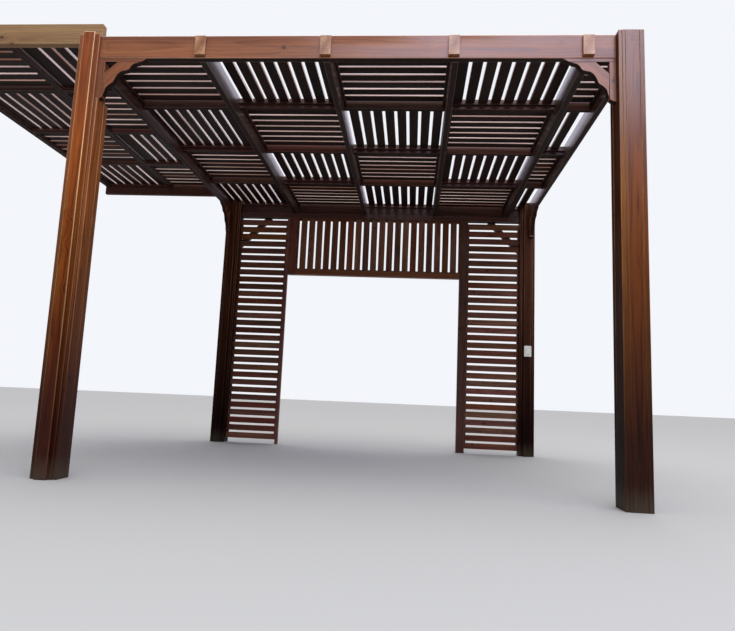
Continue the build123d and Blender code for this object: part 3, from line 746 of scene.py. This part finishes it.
def scallop(points):
    """The ogee again with each cusp kept and each hollow between cusps rounded."""
    cusps = [0, 3, 7, 11, 16]
    out = []
    for c0, c1 in zip(cusps, cusps[1:]):
        seg = points[c0:c1 + 1]
        fine = []
        n = len(seg)
        for i in range(n - 1):
            p0, p1, p2, p3 = seg[max(i - 1, 0)], seg[i], seg[i + 1], seg[min(i + 2, n - 1)]
            for k in range(3):
                t = k / 3
                fine.append(tuple(0.5 * (2 * p1[j] + (p2[j] - p0[j]) * t + (2 * p0[j] - 5 * p1[j] + 4 * p2[j] - p3[j]) * t * t
                                         + (3 * p1[j] - p0[j] - 3 * p2[j] + p3[j]) * t ** 3) for j in (0, 1)))
        out += fine
    return out + [points[-1]]


def bracket(name, axis, t0, thick, s, o, z_top):
    p = Piece(name, M_BRACKET)
    p.under = -0.2                                          # painted shade: the whole cut edge takes the dark underside wood
    tone = (rng.uniform(0.4, 0.6), 0.5, 0.5)

    def put(pts, gd, tn):
        place = [(o + s * u, z_top - v) for u, v in pts]
        if axis == "y":                                     # outline in x and z, swept along y
            p.sweep([(z, x) for x, z in place], "y", t0, t0 + thick, r=1.4, end=1.1, tone=tn, gdir=(gd[0] * s, 0, gd[1]))
        else:                                               # outline in y and z, swept along x
            p.sweep(place, "x", t0, t0 + thick, r=1.4, end=1.1, tone=tn, gdir=(0, gd[0] * s, gd[1]))

    edge = scallop(OGEE)
    upper = [q for q in edge if q[1] >= 21.5 and q[0] >= 35.5]
    put([(0, 0)] + [q for q in edge if q[1] <= 20] + [(250, 20.5), (0, 20.5)], (1, 0), (0.6, 0.5, 0.45))
    put([(0, 21.5)] + [(34.5, 21.5)] + [q for q in edge if q[0] <= 34.5], (0, 1), (0.45, 0.6, 0.5))
    put([(110, 21.5)] + upper + [(35.5, 91)], (1, 1), tone)
    return p.done()


bracket("bracket_front_left", "y", 24.0, 38, 1, PX1 - SIDE_T, BEAM_BOTTOM)
bracket("bracket_front_right", "y", 24.0, 38, -1, W - PX1, BEAM_BOTTOM)
bracket("bracket_side_left", "x", LB0 + 1, 31, -1, RP, TOP - SIDE_D)
bracket("bracket_side_right", "x", RB0 + 1, 38, -1, RP - FACE_T, TOP - SIDE_D)


# ---------------------------------------------------------------- switch box
def plastic():
    mat = bpy.data.materials.new("box_white")
    t = Tree(mat)
    out = t.add("ShaderNodeOutputMaterial")
    bsdf = t.add("ShaderNodeBsdfPrincipled")
    t.nt.links.new(bsdf.outputs[0], out.inputs[0])
    pos = t.add("ShaderNodeAttribute", attribute_name="gl").outputs["Vector"]
    n = t.noise(pos, 900.0, 2.0).outputs["Fac"]
    m = t.noise(pos, 22.0, 3.0, 0.6).outputs["Fac"]
    col = t.mix(t.span(m, 0.35, 0.75, 0.0, 0.6), lin(226, 224, 216), lin(196, 190, 176))
    t.put(bsdf, "Base Color", col)
    t.put(bsdf, "Roughness", t.span(m, 0.3, 0.7, 0.36, 0.5))
    bump = t.add("ShaderNodeBump")
    t.put(bump, "Strength", 0.15)
    t.put(bump, "Distance", 0.0002)
    t.put(bump, "Height", n)
    t.nt.links.new(bump.outputs[0], bsdf.inputs["Normal"])
    return mat


M_BOX = plastic()
bx0, bx1, by1 = W - 105, W - 35, RP - FACE_T
p = Piece("switch_box", M_BOX, "box_plastic")
p.board(bx0, bx1, by1 - 20, by1, 977, 1085, "y", r=5, seg=3, end=1.0)
p.board(bx0 + 1.5, bx1 - 1.5, by1 - 24, by1 - 20, 978.5, 1083.5, "y", r=4, seg=3, end=1.2)
p.board(bx0 + 17, bx1 - 17, by1 - 26, by1 - 24, 1001, 1061, "y", r=2, seg=3, end=0.8)
p.nail((bx0 + bx1) / 2, by1 - 24, 990, "y", -1, r=3.0, proud=0.3)
p.nail((bx0 + bx1) / 2, by1 - 24, 1072, "y", -1, r=3.0, proud=0.3)
p.done()


# ---------------------------------------------------------------- camera
f_px, cam_x, cam_y, cam_z = 601.74, 2.0197 - OX / 1000, -3.1743 - OY / 1000, 0.5057
yaw, pitch, roll = -0.0761, 0.1358, 0.0425
fwd = Vector((math.sin(yaw) * math.cos(pitch), math.cos(yaw) * math.cos(pitch), math.sin(pitch)))
right = Vector((math.cos(yaw), -math.sin(yaw), 0.0))
up = right.cross(fwd)
r2 = right * math.cos(roll) + up * math.sin(roll)
u2 = -right * math.sin(roll) + up * math.cos(roll)
cam_data = bpy.data.cameras.new("camera")
cam_data.sensor_width = 36.0
cam_data.sensor_fit = "HORIZONTAL"
cam_data.lens = f_px * 36.0 / 735.0
cam_data.clip_end = 200.0
cam = bpy.data.objects.new("camera", cam_data)
bpy.context.scene.collection.objects.link(cam)
cam.matrix_world = Matrix((
    (r2.x, u2.x, -fwd.x, cam_x),
    (r2.y, u2.y, -fwd.y, cam_y),
    (r2.z, u2.z, -fwd.z, cam_z),
    (0, 0, 0, 1),
))
bpy.context.scene.camera = cam

# ---------------------------------------------------------------- floor and light
mesh = bpy.data.meshes.new("floor")
R = 60.0
mesh.from_pydata([(-R, -R, 0), (R, -R, 0), (R, R, 0), (-R, R, 0)], [], [(0, 1, 2, 3)])
floor = bpy.data.objects.new("floor", mesh)
bpy.context.scene.collection.objects.link(floor)
mat = bpy.data.materials.new("floor_pale")
t = Tree(mat)
out = t.add("ShaderNodeOutputMaterial")
bsdf = t.add("ShaderNodeBsdfPrincipled")
t.nt.links.new(bsdf.outputs[0], out.inputs[0])
bsdf.inputs["Base Color"].default_value = (0.27, 0.27, 0.265, 1)
bsdf.inputs["Roughness"].default_value = 0.85
mesh.materials.append(mat)


def panel(name, loc, target, size, power, colour=(1, 1, 1)):
    light = bpy.data.lights.new(name, "AREA")
    light.shape = "RECTANGLE"
    light.size, light.size_y = size
    light.energy = power
    light.color = colour
    ob = bpy.data.objects.new(name, light)
    bpy.context.scene.collection.objects.link(ob)
    ob.location = loc
    ob.rotation_euler = (Vector(target) - Vector(loc)).to_track_quat("-Z", "Y").to_euler()
    return ob


panel("key", (3.0, -6.0, 9.8), (0.4, -0.6, 1.8), (11.0, 5.0), 560, (1.0, 0.94, 0.86))
panel("sky_right", (2.3, -7.0, 5.9), (1.6, -1.5, 2.4), (4.6, 2.1), 330, (0.64, 0.72, 1.0))

# the studio's soft light comes mostly from above, over a pale backdrop
world = bpy.data.worlds.new("studio")
bpy.context.scene.world = world
world.use_nodes = True
nt = world.node_tree
nt.nodes.clear()
wo = nt.nodes.new("ShaderNodeOutputWorld")
coord = nt.nodes.new("ShaderNodeTexCoord")
sep = nt.nodes.new("ShaderNodeSeparateXYZ")
nt.links.new(coord.outputs["Generated"], sep.inputs[0])
ramp = nt.nodes.new("ShaderNodeValToRGB")
nt.links.new(sep.outputs["Z"], ramp.inputs[0])
el = ramp.color_ramp.elements
el[0].position, el[0].color = 0.0, (0.018, 0.018, 0.019, 1)
el[1].position, el[1].color = 1.0, (1.0, 1.0, 1.0, 1)
e = el.new(0.5)
e.color = (0.07, 0.07, 0.075, 1)
e = el.new(0.8)
e.color = (0.30, 0.30, 0.30, 1)
rise = nt.nodes.new("ShaderNodeValToRGB")
nt.links.new(sep.outputs["Z"], rise.inputs[0])
el = rise.color_ramp.elements
el[0].position, el[0].color = 0.12, (0, 0, 0, 1)
el[1].position, el[1].color = 0.9, (0, 0, 0, 1)
for at in (0.3, 0.65):
    e = el.new(at)
    e.color = (0.21, 0.20, 0.25, 1)
behind = nt.nodes.new("ShaderNodeMapRange")
for i, v in enumerate((0.15, 0.75, 0.0, 1.0)):
    behind.inputs[i + 1].default_value = v
nt.links.new(sep.outputs["Y"], behind.inputs[0])
glow = nt.nodes.new("ShaderNodeVectorMath")
glow.operation = "SCALE"
nt.links.new(rise.outputs[0], glow.inputs[0])
nt.links.new(behind.outputs[0], glow.inputs["Scale"])
total = nt.nodes.new("ShaderNodeVectorMath")
total.operation = "ADD"
nt.links.new(ramp.outputs[0], total.inputs[0])
nt.links.new(glow.outputs[0], total.inputs[1])
lit = nt.nodes.new("ShaderNodeBackground")
nt.links.new(total.outputs[0], lit.inputs["Color"])
lit.inputs["Strength"].default_value = 4.8
back = nt.nodes.new("ShaderNodeBackground")
back.inputs["Color"].default_value = (0.90, 0.92, 0.96, 1)
back.inputs["Strength"].default_value = 1.0
path = nt.nodes.new("ShaderNodeLightPath")
both = nt.nodes.new("ShaderNodeMixShader")
nt.links.new(path.outputs["Is Camera Ray"], both.inputs[0])
nt.links.new(lit.outputs[0], both.inputs[1])
nt.links.new(back.outputs[0], both.inputs[2])
nt.links.new(both.outputs[0], wo.inputs[0])

bpy.context.scene.view_settings.view_transform = "Standard"
